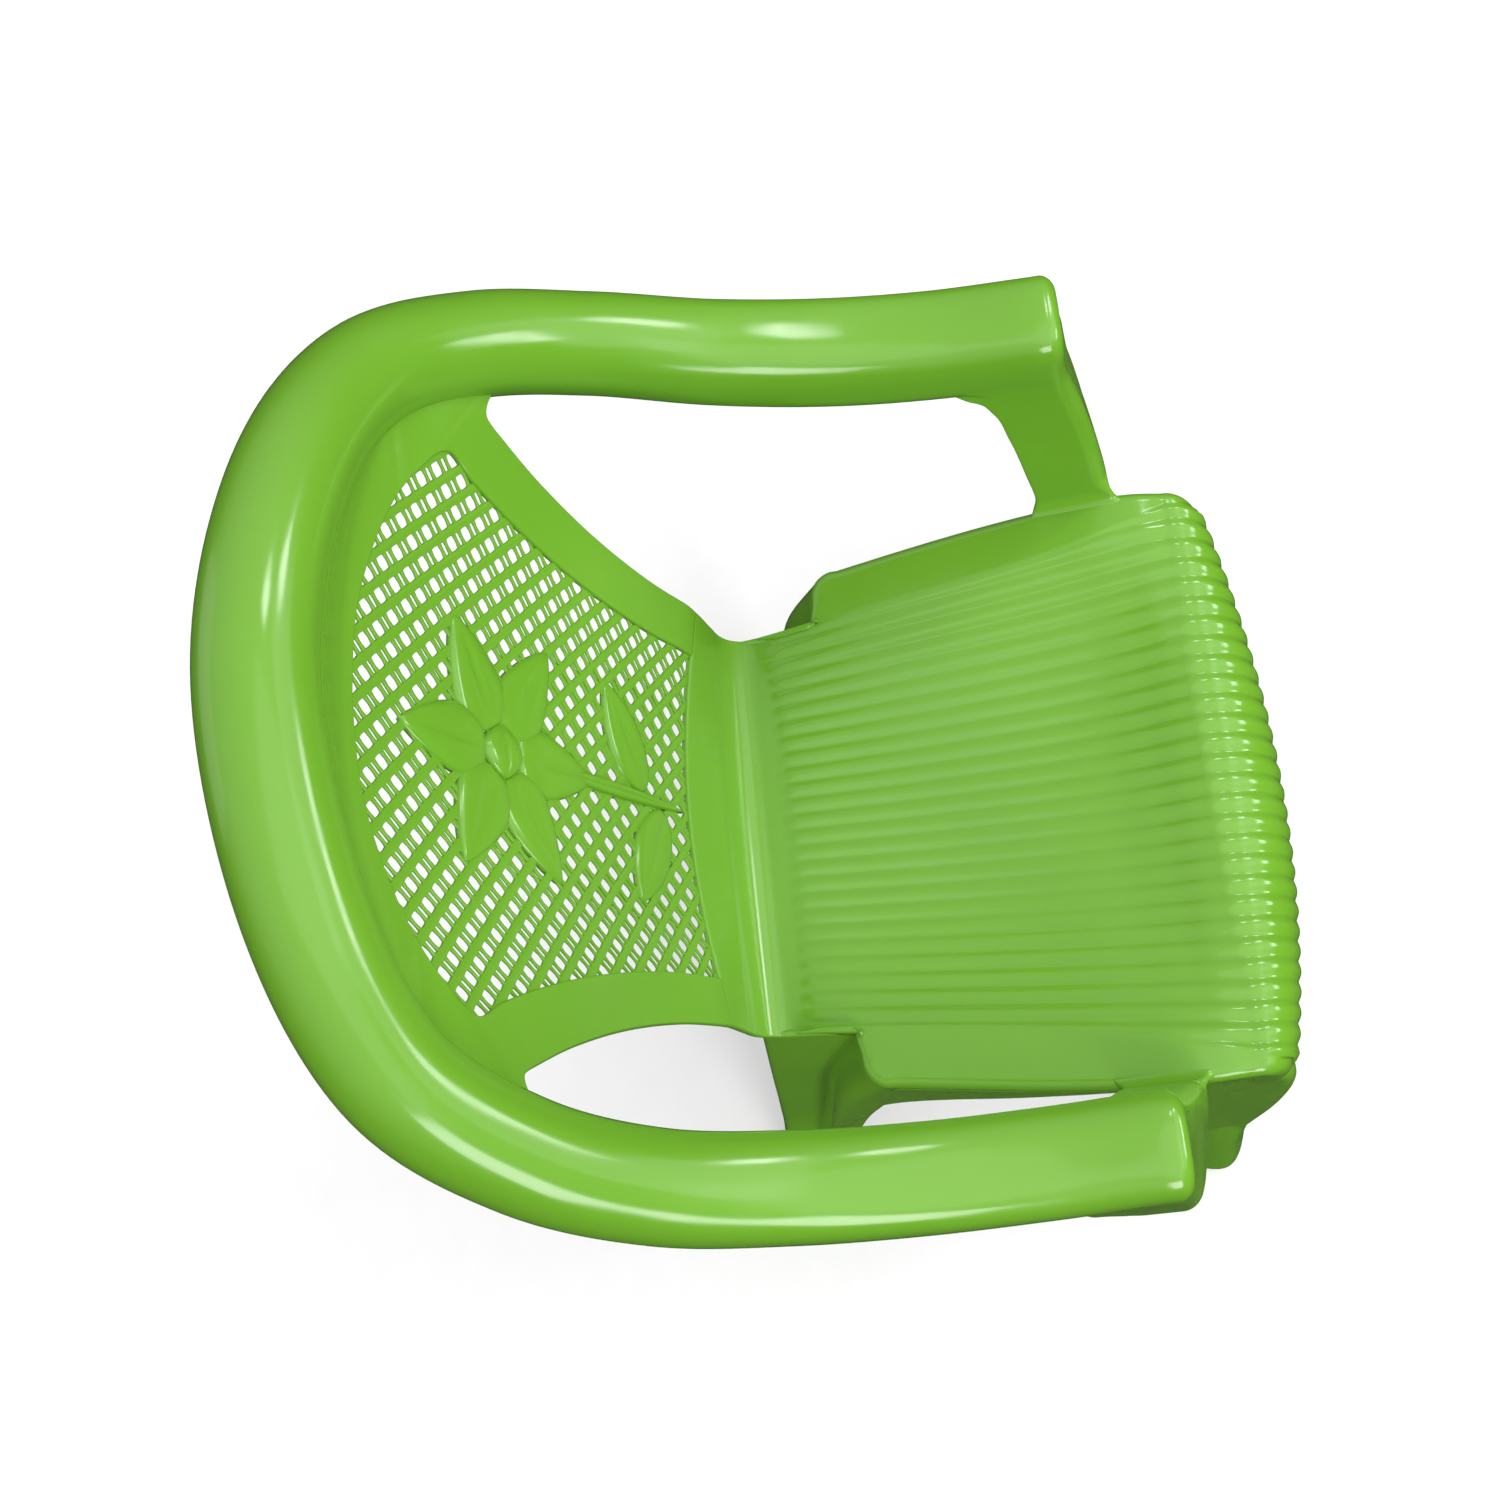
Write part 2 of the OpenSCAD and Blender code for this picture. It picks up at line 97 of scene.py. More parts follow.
def curve(points, s):
    """Catmull-Rom curve through the points, at places s counted in points."""
    p = np.asarray(points, float)
    p = np.vstack([2 * p[0] - p[1], p, 2 * p[-1] - p[-2]])
    s = np.clip(np.atleast_1d(np.asarray(s, float)), 0, len(p) - 3)
    i = np.minimum(s.astype(int), len(p) - 4)
    t = (s - i)[:, None]
    a, b, c, d = p[i], p[i + 1], p[i + 2], p[i + 3]
    return 0.5 * (2 * b + (c - a) * t + (2 * a - 5 * b + 4 * c - d) * t**2
                  + (3 * b - a - 3 * c + d) * t**3)


# ---------- meshes ----------
def grid_faces(n, m, start=0):
    """Four-sided faces of a grid of n by m points, whose first point has number start."""
    i, j = np.meshgrid(np.arange(n - 1), np.arange(m - 1), indexing="ij")
    p = (start + i * m + j).ravel()
    return np.stack([p, p + 1, p + m + 1, p + m], axis=1)


def weld(points, faces):
    """Join points that lie together, and drop the sides and faces that vanish."""
    keys = np.round(points / 0.002).astype(np.int64)
    _, first, inverse = np.unique(keys, axis=0, return_index=True, return_inverse=True)
    inverse = inverse.reshape(-1)
    kept = []
    for face in inverse[faces]:
        corners = [v for k, v in enumerate(face) if v != face[k - 1]]
        if len(set(corners)) >= 3 and len(set(corners)) == len(corners):
            kept.append(corners)
    return points[first], kept, first


def vertex_normals(points, faces):
    """Direction that the surface faces at each point."""
    normals = np.zeros_like(points)
    for size in (3, 4):
        group = np.array([f for f in faces if len(f) == size])
        if len(group) == 0:
            continue
        face_normal = np.cross(points[group[:, 2]] - points[group[:, 0]],
                               points[group[:, -1]] - points[group[:, 1]])
        for k in range(size):
            np.add.at(normals, group[:, k], face_normal)
    return unit(normals)


def border_edges(faces):
    """Directed edges that only one face has."""
    edges = {(f[k], f[(k + 1) % len(f)]) for f in faces for k in range(len(f))}
    return [(a, b) for a, b in edges if (b, a) not in edges]


def make_object(name, points, faces):
    """Mesh object from points in millimetres, with all its faces turned outwards."""
    mesh = bpy.data.meshes.new(name)
    mesh.from_pydata((np.asarray(points) * MM).tolist(), [], [list(map(int, f)) for f in faces])
    mesh.validate()
    work = bmesh.new()
    work.from_mesh(mesh)
    bmesh.ops.recalc_face_normals(work, faces=work.faces)
    work.to_mesh(mesh)
    work.free()
    mesh.shade_smooth()
    obj = bpy.data.objects.new(name, mesh)
    bpy.context.collection.objects.link(obj)
    return obj


def join_grids(grids):
    """Points and faces of several grids, one after the other."""
    points, faces, start = [], [], 0
    for g in grids:
        n, m = g.shape[:2]
        points.append(g.reshape(-1, 3))
        faces.append(grid_faces(n, m, start))
        start += n * m
    return np.vstack(points), np.vstack(faces)


def rim_directions(points, normals, border):
    """The points on the free edges, and the direction in which the edge faces at each."""
    outward = np.zeros_like(points)
    for a, b in border:
        away = unit(np.cross(points[b] - points[a], normals[a] + normals[b]))
        outward[a] += away
        outward[b] += away
    rim = sorted({v for e in border for v in e})
    return rim, unit(outward[rim])


def shell(name, grids, raised=None, plate=None):
    """Moulded wall behind one or more grids of outer points, with rounded free edges.

    raised holds, for each grid, how far each outer point stands out from the base surface.
    plate holds the points and faces of a flat plate inside the wall."""
    points, faces = join_grids(grids)
    lift = np.zeros(len(points)) if raised is None else np.concatenate([r.ravel() for r in raised])
    points, faces, first = weld(points, faces)
    normals = vertex_normals(points, faces)
    outer = points + normals * lift[first][:, None]
    inner = points - normals * WALL
    count = len(points)
    border = border_edges(faces)
    rim, out = rim_directions(points, normals, border)
    place = {v: k for k, v in enumerate(rim)}
    all_points = [outer, inner]
    for turn in RIM_TURNS:
        depth = 0.5 * (1 - math.cos(turn))
        all_points.append(mix(outer[rim], inner[rim], depth) + out * EDGE * math.sin(turn))

    def on_ring(v, k):
        """Number of the copy of point v on ring k, from the outer face round to the inner one."""
        if k == 0:
            return v
        if k == len(RIM_TURNS) + 1:
            return count + v
        return 2 * count + (k - 1) * len(rim) + place[v]

    all_faces = list(faces) + [[count + v for v in reversed(f)] for f in faces]
    for a, b in border:
        for k in range(len(RIM_TURNS) + 1):
            all_faces.append([on_ring(b, k), on_ring(a, k), on_ring(a, k + 1), on_ring(b, k + 1)])
    if plate is not None:
        start = sum(len(p) for p in all_points)
        all_points.append(plate[0])
        all_faces += [[start + v for v in f] for f in plate[1]]
    all_points = np.vstack(all_points)
    all_points[:, 2] = np.maximum(all_points[:, 2], 0.0)
    return make_object(name, all_points, all_faces)


def mirrored_grid(grid):
    """The same grid on the other side of the chair."""
    return (grid * (-1, 1, 1))[:, ::-1]


def add(piece, *nodes):
    """Declare a finished piece: it rides on the one body and stands in for these CAD nodes."""
    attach(piece, "root")
    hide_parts(*nodes)
    PIECES[piece.name] = piece


# ---------- rail ----------
# Middle of the rail's section, from the right armrest's front end to the crown
RAIL_PATH = [[168, -99, 349], [169.5, -58, 349.5], [170.5, -14, 357], [170, 32, 375], [166.5, 76, 405],
             [153.5, 114, 442], [126, 144.5, 480], [72, 160, 514], [0, 166, 529.5]]
RAIL_SPANS = 16            # spans between those points, from one armrest's front end to the other
RAIL_STEPS = 15            # stations in each span
RAIL_CROWN = 8             # place of the crown, counted in spans
RAIL_R = 20.45             # radius of the rail's section
RAIL_OPENING = (0, 0.6, -0.8)  # direction in which its channel is open behind the armrests
ARM_SQUARE = 3.0           # power of the armrests' section, where 2 is round
ARM_FRONT = -111.0         # y of the armrests' front ends
ARM_CORNER = 7.0           # radius of the edge round those ends
SECTION = np.radians(np.linspace(212, -32, 49))  # angles round the open section


def superellipse(angle, power):
    """Radius at an angle of a rounded square of half width 1."""
    return (np.abs(np.cos(angle)) ** power + np.abs(np.sin(angle)) ** power) ** (-1 / power)


def rail_frames():
    """Stations along the rail: its centre, outward and upward directions, and squareness."""
    right = np.array(RAIL_PATH, float)
    path = np.vstack([right, right[-2::-1] * (-1, 1, 1)])
    s = np.linspace(0, RAIL_SPANS, RAIL_SPANS * RAIL_STEPS + 1)
    from_end = np.minimum(s, RAIL_SPANS - s)
    centre = curve(path, s)
    tangent = unit(curve(path, s + 0.03) - curve(path, s - 0.03))
    tangent[0], tangent[-1] = (0, 1, 0), (0, -1, 0)
    straight_down = np.array([0, 0, -1.0])
    facing = unit(mix(straight_down, np.array(RAIL_OPENING), smooth(from_end / 0.8)[:, None]))
    up = -unit(facing - tangent * np.sum(facing * tangent, axis=1)[:, None])
    across = np.cross(tangent, up)
    power = mix(ARM_SQUARE, 2.0, smooth((from_end - 1.5) / 3))
    return centre, across, up, power


def rail_grid():
    """Rings of the rail between the armrests' front ends."""
    rings = []
    for centre, across, up, power in zip(*rail_frames()):
        r = RAIL_R * superellipse(SECTION, power)
        rings.append(centre + r[:, None] * (np.cos(SECTION)[:, None] * across
                                            + np.sin(SECTION)[:, None] * up))
    return np.array(rings)


# ---------- surfaces of the back ----------
def panel_y(x, z):
    """The back panel's front face: y at a place in x and z."""
    return PANEL_BASE[0] + LEAN * (z - PANEL_BASE[1]) - BOW * smooth((z - 240) / 55) * x * x


def on_panel(x, z, back=0.0):
    """Points that lie the distance back behind the panel's face."""
    x, z = np.broadcast_arrays(np.asarray(x, float), np.asarray(z, float))
    normal = unit(np.stack([2 * BOW * x, np.ones_like(x), np.full_like(x, -LEAN)], axis=-1))
    return np.stack([x, panel_y(x, z), z], axis=-1) + np.asarray(back)[..., None] * normal


def mesh_half_width(z):
    """Half width of the lattice at height z."""
    return MESH_HALF + 0.00114 * np.maximum(z - PANEL_BASE[1], 0) ** 2


def mesh_low(x):
    """Height of the lattice's lower edge."""
    return 284.5 - 3.5 * (x / MESH_HALF) ** 2


def mesh_high(x):
    """Height of the lattice's upper edge."""
    return 487.5 - 0.0016 * x * x - 1.2e-7 * x**4


# The border's edge at the lattice and its outer edge, in x and z, from the foot to the crown
BORDER_IN = [[74, 281], [75.7, 320], [81.5, 362], [90, 400], [100, 432], [107, 449.5], [96, 462.5],
             [74, 475], [38, 485], [0, 487.5]]
BORDER_OUT = [[STRIP_HALF, 281], [96, 320], [102.3, 360], [112, 398], [122.5, 428], [131, 451],
              [113.5, 472.5], [91, 489], [47, 510], [0, 517]]
BORDER_END = 9             # place of the crown on both lines, counted in points
CORNER_START = 4.2         # place along BORDER_OUT where the opening's rounded corner starts
CORNER_END = 5.0           # place where the border has reached the rail
CORNER_STATION = 5.02      # rail station of that place, counted in points of RAIL_PATH
CORNER_DEPTH = 12.0        # how far the flat border runs on inside the rail at that place
CORNER_REACH = 8.0         # how far the opening's edge is led straight on into its corner
FILLET_GROWTH = 1.7        # length of border in which its fillet to the rail grows from nothing
RAIL_ANGLES = (189, 158)   # where round the rail the border's fillet ends, at the corner and the crown
FILLET_PROUD = 0.06        # how far the fillet's end stands out from the rail
FILLET_SUNK = (0.14, 1.2)  # angle and depth from there to the point sunk in the rail
FILLET_LIMIT = 45.0        # greatest distance from the fillet's corner to the rail
FLAT_PART = 0.45           # part of the border's width before its fillet
BEND_WIDTH = 14.0          # width of the bend in front of the fillet
COLUMNS = 168              # columns on each side of the seat's middle
BORDER_COLUMN = 133        # the column that runs up the lattice's side


def rail_fillet(station):
    """At each station: the fillet's corner, its end on the rail, and a point sunk in the rail."""
    station = np.asarray(station, float)
    centre, across, up, _ = rail_frames()
    index = station * RAIL_STEPS
    low = np.minimum(index.astype(int), len(centre) - 2)
    part = (index - low)[:, None]
    middle, side, top = (mix(g[low], g[low + 1], part) for g in (centre, unit(across), unit(up)))
    t = smooth((station - CORNER_STATION) / (RAIL_CROWN - CORNER_STATION))
    angle = np.radians(mix(RAIL_ANGLES[0], RAIL_ANGLES[1], t))[:, None]

    def on_rail(turn, depth):
        return middle + (RAIL_R - depth) * (np.cos(angle - turn) * side + np.sin(angle - turn) * top)

    end = on_rail(0, 0)
    down = -np.sin(angle) * side + np.cos(angle) * top
    near, far = np.zeros(len(end)), np.full(len(end), FILLET_LIMIT)
    for _ in range(30):
        reach = 0.5 * (near + far)
        place = end + down * reach[:, None]
        in_front = place[:, 1] < panel_y(place[:, 0], place[:, 2])
        near, far = np.where(in_front, reach, near), np.where(in_front, far, reach)
    return end + down * near[:, None], on_rail(0, -FILLET_PROUD), on_rail(*FILLET_SUNK)


def border_edge(s, a):
    """At places s: the border's outer edge, its fillet's corner, and a point sunk in the rail.

    The edge is free up to the opening's corner. There it runs flat into the rail, and then it
    follows the rail up to the crown. a holds the border's edge at the lattice."""
    b = curve(BORDER_OUT, s)
    free = np.column_stack([b[:, 0], panel_y(b[:, 0], b[:, 1]), b[:, 1]])
    along = np.maximum(s - CORNER_END, 0) / (BORDER_END - CORNER_END)
    elbow, end, sunk = rail_fillet(mix(CORNER_STATION, RAIL_CROWN, along))
    first = int(np.argmax(s >= CORNER_START))
    last = int(np.argmax(s >= CORNER_END))
    t = ((s - CORNER_START) / (CORNER_END - CORNER_START))[:, None]
    flat = elbow + CORNER_DEPTH * unit(elbow - a)
    tip = free[first] + CORNER_REACH * unit(free[first] - free[first - 1])
    arc = mix(mix(free[first], tip, t), mix(tip, flat[last], t), t)
    on_rail = mix(flat, end, smooth((s - CORNER_END) / FILLET_GROWTH)[:, None])
    out = np.where(t <= 0, free, np.where(t >= 1, on_rail, arc))
    return out, mix(mix(a, out, 0.5 + 0.5 * FLAT_PART), elbow, smooth(t)), sunk


def border_grid():
    """Right half of the border between lattice and rail, from its foot to the crown."""
    s = np.concatenate([np.linspace(0, CORNER_START, 80), np.linspace(CORNER_START, CORNER_END, 31)[1:],
                        np.linspace(CORNER_END, BORDER_END, 90)[1:]])
    a = curve(BORDER_IN, s)
    a = np.column_stack([a[:, 0], panel_y(a[:, 0], a[:, 1]), a[:, 1]])
    out, elbow, sunk = border_edge(s, a)
    joined = smooth((s - CORNER_START) / (CORNER_END - CORNER_START))[:, None]
    filleted = smooth((s - CORNER_END) / FILLET_GROWTH)[:, None]
    reach = np.linalg.norm(a - elbow, axis=1, keepdims=True)
    before = elbow + (a - elbow) * np.minimum(0.75, BEND_WIDTH / reach)
    before = mix(mix(a, out, FLAT_PART), before, joined)
    columns = []
    for u in np.linspace(0, 1, COLUMNS - BORDER_COLUMN + 1)[:-1]:
        if u < FLAT_PART:
            columns.append(mix(a, before, u / FLAT_PART))
        else:
            v = (u - FLAT_PART) / (1 - FLAT_PART)
            columns.append(mix(mix(before, elbow, v), mix(elbow, out, v), v))
    columns.append(out)
    grid = np.stack(columns, axis=1)
    level = panel_y(grid[..., 0], grid[..., 2])
    grid[..., 1] = mix(level, grid[..., 1], filleted)
    grid[:, -1] = mix(grid[:, -1], sunk, filleted)
    grid[0, :, 0] = STRIP_HALF * np.arange(BORDER_COLUMN, COLUMNS + 1) / COLUMNS
    return grid


BAND_TOP = 256.0           # height where the band below the lattice starts to curve
BAND_BEND = (0, 14.8, 0)   # from the crease to the corner that the curve rounds off


def band_grid():
    """Concave band from the lattice's lower edge down to the crease."""
    x = STRIP_HALF * np.arange(COLUMNS, -COLUMNS - 1, -1) / COLUMNS
    top = np.where(np.abs(x) < MESH_HALF, mesh_low(x), PANEL_BASE[1])
    rows = []
    for t in np.linspace(1, 0, 13):
        z = mix(BAND_TOP, top, t)
        rows.append(np.stack([x, panel_y(x, z), z], axis=-1))
    foot = np.stack([x, np.full_like(x, CREASE[0]), np.full_like(x, CREASE[1])], axis=-1)
    bend = foot + BAND_BEND
    start = rows[-1]
    for t in np.linspace(1, 0, 17)[1:]:
        rows.append(mix(mix(foot, bend, t), mix(bend, start, t), t))
    return np.array(rows)


# ---------- surfaces of the seat ----------
def pan_x(y):
    """Half width of the pan at y."""
    return through(y, [(ROLL_Y, 128), (-127, 120), (-95, 111.8), (-60, 106.2), (NOTCH_Y, 96.8),
                       (CREASE[0], STRIP_HALF)])


def flange_x(y):
    """Half width of the seat over its side flanges at y."""
    return through(y, [(ROLL_Y, 135), (-127, 136), (-95, 134.5), (NOTCH_Y, 120.6)])


def side_z(y):
    """Height of the seat's sides at y."""
    return through(y, [(ROLL_Y, 240), (-140, 242.5), (-127, 243.5), (-95, 242), (NOTCH_Y, 237), CREASE])


def middle_drop(y):
    """Part of the full dish that the pan has at y."""
    return through(y, [(ROLL_Y, 0.35), (-142, 0.55), (-130, 0.8), (-115, 0.97), (-95, 1),
                       (-60, 0.93), (-20, 0.72), (10, 0.45), (30, 0.2), (CREASE[0], 0)])


def seat_z(x, y):
    """Height of the pan without its ribs."""
    u = np.minimum(np.abs(x) / pan_x(y), 1)
    return side_z(y) - DISH * middle_drop(y) * (1 - u**2.6)


def apron_low(x):
    """Height of the front apron's lower edge."""
    return 166 - 14 * (np.abs(x) / ROLL_HALF) ** 2


def roll_point(x, a):
    """Point of the roll: a = 0 at its crest, 90 at its foremost line, 120 at the apron's lower edge."""
    top = seat_z(x, ROLL_Y)
    front = -185 + 0.001 * x * x
    level = 191 + 0.0013 * x * x
    c = np.radians(np.minimum(a, 90))
    y = ROLL_Y - (ROLL_Y - front) * np.sin(c)
    z = mix(level, top, np.cos(c))
    below = max(a - 90, 0) / 30 * (level - apron_low(x))
    return np.stack([x, y + 0.03 * below, z - below], axis=-1)


def rib_pitch(y):
    """Distance between ribs, which spread towards the front."""
    return 7.86 - 0.0098 * y


def rib_height(x, y, fade=1.0):
    """Height of the ribs at a place: rounded crests with narrower valleys, fading at the pan's sides."""
    phase = np.abs(x) / rib_pitch(y) * math.pi
    crest = 0.6 * np.abs(np.sin(phase)) + 0.4 * np.sin(phase) ** 2
    inside = smooth((pan_x(np.clip(y, ROLL_Y, CREASE[0])) + 0.5 - np.abs(x)) / 4.0)
    front = smooth((-100 - y) / 45)
    return RIB_HEIGHT * mix(0.55, 0.85, front) * crest * inside * fade


FLANGE_CORNER = 12.5       # radius of the flange's rear corner in plan
CORNER_LENGTH = 14.0       # length in y of the rows that go round that corner
REAR_EDGE_PART = 0.45      # part of those rows that lies on the flange's rear edge
PAN_CORNER = (97.4, 19.4)  # x and y where that edge starts at the pan


def flange_outline(y):
    """Plan position of the seat's side edge, its outward direction and its rim radius at row y."""
    if y >= NOTCH_Y:
        corner = float(smooth((y - NOTCH_Y) / 1.5))
        place = (float(pan_x(y)) + 0.4 * (1 - corner), y + 1.0 * (1 - corner))
        return place, (0.7 + 0.3 * corner, 0.7 * (1 - corner)), 2.5 * float(smooth((CREASE[0] - y) / 14))
    start = NOTCH_Y - CORNER_LENGTH
    if y <= start:
        return (float(flange_x(y)), y), (1.0, 0.1), 5.0
    q = (NOTCH_Y - y) / CORNER_LENGTH      # 0 at the pan's corner, 1 on the straight side
    if q < REAR_EDGE_PART:
        t = q / REAR_EDGE_PART
        x = mix(PAN_CORNER[0], float(flange_x(NOTCH_Y)) - FLANGE_CORNER, t)
        return (x, mix(PAN_CORNER[1], NOTCH_Y, float(smooth(t)))), (0.0, 1.0), mix(2.5, 4.0, t)
    phi = math.radians(90 * (1 - q) / (1 - REAR_EDGE_PART))
    out = (math.cos(phi), math.sin(phi))
    centre = (float(flange_x(start)) - FLANGE_CORNER, NOTCH_Y - FLANGE_CORNER)
    return (centre[0] + FLANGE_CORNER * out[0], centre[1] + FLANGE_CORNER * out[1]), out, 4.5


SIDE_STEPS = 10            # columns across the flange
RIM_ANGLES = np.radians([15, 30, 45, 60, 75, 90])  # angles round the flange's rim
WALL_DROPS = (3.0, 6.0, 9.5)  # depths below the rim of the points on its wall


def side_row(inner, outline, outward, radius, down):
    """One row across the side flange, from the pan's edge over the rim and down its wall."""
    inner = np.asarray(inner, float)
    outward = unit(np.asarray(outward, float))
    top_end = np.asarray(outline, float) - outward * radius
    row = [mix(inner, top_end, t) for t in np.linspace(0, 1, SIDE_STEPS + 1)]
    row += [top_end + outward * radius * math.sin(b) + down * radius * (1 - math.cos(b))
            for b in RIM_ANGLES]
    row += [row[-1] + down * drop * min(radius / 4.5, 1) for drop in WALL_DROPS]
    return np.array(row)


def seat_rows():
    """Places in y of the seat's rows, from the crease to where the roll starts."""
    straight = NOTCH_Y - CORNER_LENGTH
    back = np.linspace(CREASE[0], NOTCH_Y, 15)
    corner = np.linspace(NOTCH_Y, straight, 21)[1:]
    flat = np.linspace(straight, ROLL_Y, 74)[1:]
    return np.concatenate([back, corner, flat])


def seat_grids():
    """The pan with its ribs and the right flange, over the roll and down the apron."""
    u = np.arange(COLUMNS, -COLUMNS - 1, -1) / COLUMNS
    pan, lift, side = [], [], []
    for y in seat_rows():
        x = u * pan_x(y)
        row = np.stack([x, np.full_like(x, y), seat_z(x, y)], axis=-1)
        pan.append(row)
        lift.append(rib_height(x, y, smooth((CREASE[0] - 4 - y) / 7)))
        outline, outward, radius = flange_outline(y)
        level = float(side_z(y))
        side.append(side_row(row[0], (*outline, level), (*outward, 0), radius, np.array([0, 0, -1.0])))
    for a in np.concatenate([np.linspace(0, 90, 31)[1:], np.linspace(90, 120, 13)[1:]]):
        x = u * ROLL_HALF
        row = roll_point(x, a)
        pan.append(row)
        lift.append(rib_height(x, ROLL_Y))
        c = math.radians(min(a, 90))
        down = np.array([0, math.sin(c), -math.cos(c)])
        radius = 5.0 + 3.0 * float(smooth(a / 70))
        side.append(side_row(row[0], roll_point(np.array(ROLL_SIDE), a), (1, 0, 0), radius, down))
    side = np.array(side)[:, ::-1]
    return np.array(pan), np.array(lift), side


def seat_and_back():
    """The seat, its flanges and roll, the band and the border, as one wall."""
    border = border_grid()
    pan, lift, side = seat_grids()
    grids = [band_grid(), border, mirrored_grid(border), pan, side, mirrored_grid(side)]
    raised = [lift if g is pan else np.zeros(g.shape[:2]) for g in grids]
    add(shell("seat_and_back_shell", grids, raised), "lumbar_band", "back_frame", "seat_pan",
        "seat_ribs", "seat_flange_right", "seat_flange_left", "front_roll")


# ---------- lattice ----------
HOLE_PITCH = 12.3          # distance between holes across the lattice
HOLE_RISE = 13.5           # distance between holes up the lattice
MESH_MID = 385.0           # height of a row of hole centres
FRONT_BAR = 3.3            # width of the bars that run down towards +X
BACK_PAIR = 4.5            # width of each pair of thin bars behind, with the slit between them
FRONT_THICK = 1.6          # thickness of the front bars
BACK_THICK = 1.1           # thickness of the pairs of thin bars
BAR_EDGE = 0.45            # radius of the bars' edges
RECESS = 1.2               # depth of the front bars below the border's face
BACK_RECESS = 1.4          # depth of the thin bars below it
BAR_UNDER = 1.6            # how far the bars run on under the border
SHORTEST_BAR = 12          # fewest fortieths of a cell that make a bar
CORNER_FILL = 0.26         # how far each hole's corners are filled
BAR_LINES = range(-37, 38, 2)  # half steps up from MESH_MID at which bars cross x = 0
BAR_STEPS = (0, 10, 13, 15, 17, 20, 23, 25, 27, 30)  # fortieths of a cell at which a bar has a ring


def inside_mesh(x, z, margin):
    """Whether places lie in the lattice, or no more than margin outside it."""
    return ((z > mesh_low(x) - margin) & (z < mesh_high(x) + margin)
            & (np.abs(x) < mesh_half_width(z) + margin))


def bar_lines(constant, slope):
    """Points along one lattice bar, in x and z, that end just under the border, and how much it
    widens at each of them where bars cross."""
    a = np.linspace(-20, 20, 1601)
    x, z = a * HOLE_PITCH / 2, MESH_MID + (constant + slope * a) * HOLE_RISE / 2
    across = unit([-slope * HOLE_RISE, HOLE_PITCH])
    ok = np.where(inside_mesh(x, z, BAR_UNDER))[0]
    lines = []
    for run in np.split(ok, np.where(np.diff(ok) > 1)[0] + 1):
        if len(run) >= SHORTEST_BAR:
            wanted = sorted({run[0], run[-1]} | {k for k in run[3:-3] if k % 40 in BAR_STEPS})
            wide = CORNER_FILL * smooth((0.46 - np.abs(a[wanted] - np.round(a[wanted]))) / 0.2)
            lines.append((x[wanted], z[wanted], across, wide))
    return lines


def bar_ring(x, z, across, half, depth, thick):
    """Rings of a rounded bar of half width half, whose face lies depth behind the panel's."""
    half = np.asarray(half, float)[:, None]
    step = math.radians(15)
    turn = np.radians(np.arange(0, 360, 30)) + step
    radius = BAR_EDGE / math.cos(step)
    side = np.sign(np.cos(turn)) * (half - BAR_EDGE) + radius * np.cos(turn)
    deep = thick / 2 - np.sign(np.sin(turn)) * (thick / 2 - BAR_EDGE) - radius * np.sin(turn)
    px = x[:, None] + across[0] * side
    pz = z[:, None] + across[1] * side
    return on_panel(px, pz, depth + np.broadcast_to(deep, px.shape))


def tube(rings, points, faces):
    """Add a closed bar, given as rings, to a list of points and faces."""
    n, m = rings.shape[:2]
    start = sum(len(p) for p in points)
    points.append(rings.reshape(-1, 3))
    for i in range(n - 1):
        low, high = start + i * m, start + (i + 1) * m
        faces.extend([low + j, low + (j + 1) % m, high + (j + 1) % m, high + j] for j in range(m))
    faces.append([start + j for j in reversed(range(m))])
    faces.append([start + (n - 1) * m + j for j in range(m)])


def slit_width(x, z):
    """The slit in a pair of bars is widest near the lattice's outer edge, and closes towards its middle."""
    out = np.abs(x) / mesh_half_width(z)
    high = (z - 284) / 200
    return 0.15 + 1.7 * smooth((np.hypot(out, 0.8 * high) - 0.3) / 0.7)


def lattice():
    """Broad bars in front, and behind them pairs of thin bars that run the other way."""
    points, faces = [], []
    for constant in BAR_LINES:
        for x, z, across, wide in bar_lines(constant, -1):
            tube(bar_ring(x, z, across, FRONT_BAR / 2 + wide, RECESS, FRONT_THICK), points, faces)
    add(make_object("lattice_front_bars", np.vstack(points), faces), "back_lattice")
    points, faces = [], []
    for constant in BAR_LINES:
        for x, z, across, wide in bar_lines(constant, 1):
            half = (BACK_PAIR - slit_width(x, z)) / 4 + 0.7 * wide
            for side in (-1, 1):
                offset = side * (BACK_PAIR / 2 + wide - half)
                tube(bar_ring(x + across[0] * offset, z + across[1] * offset, across, half,
                              BACK_RECESS, BACK_THICK), points, faces)
    add(make_object("lattice_back_bars", np.vstack(points), faces), "back_lattice")


# ---------- flower ----------
FLOWER = (0.0, 408.0)      # x and z of its middle
HEART = 9.0                # distance from there to the petals' roots


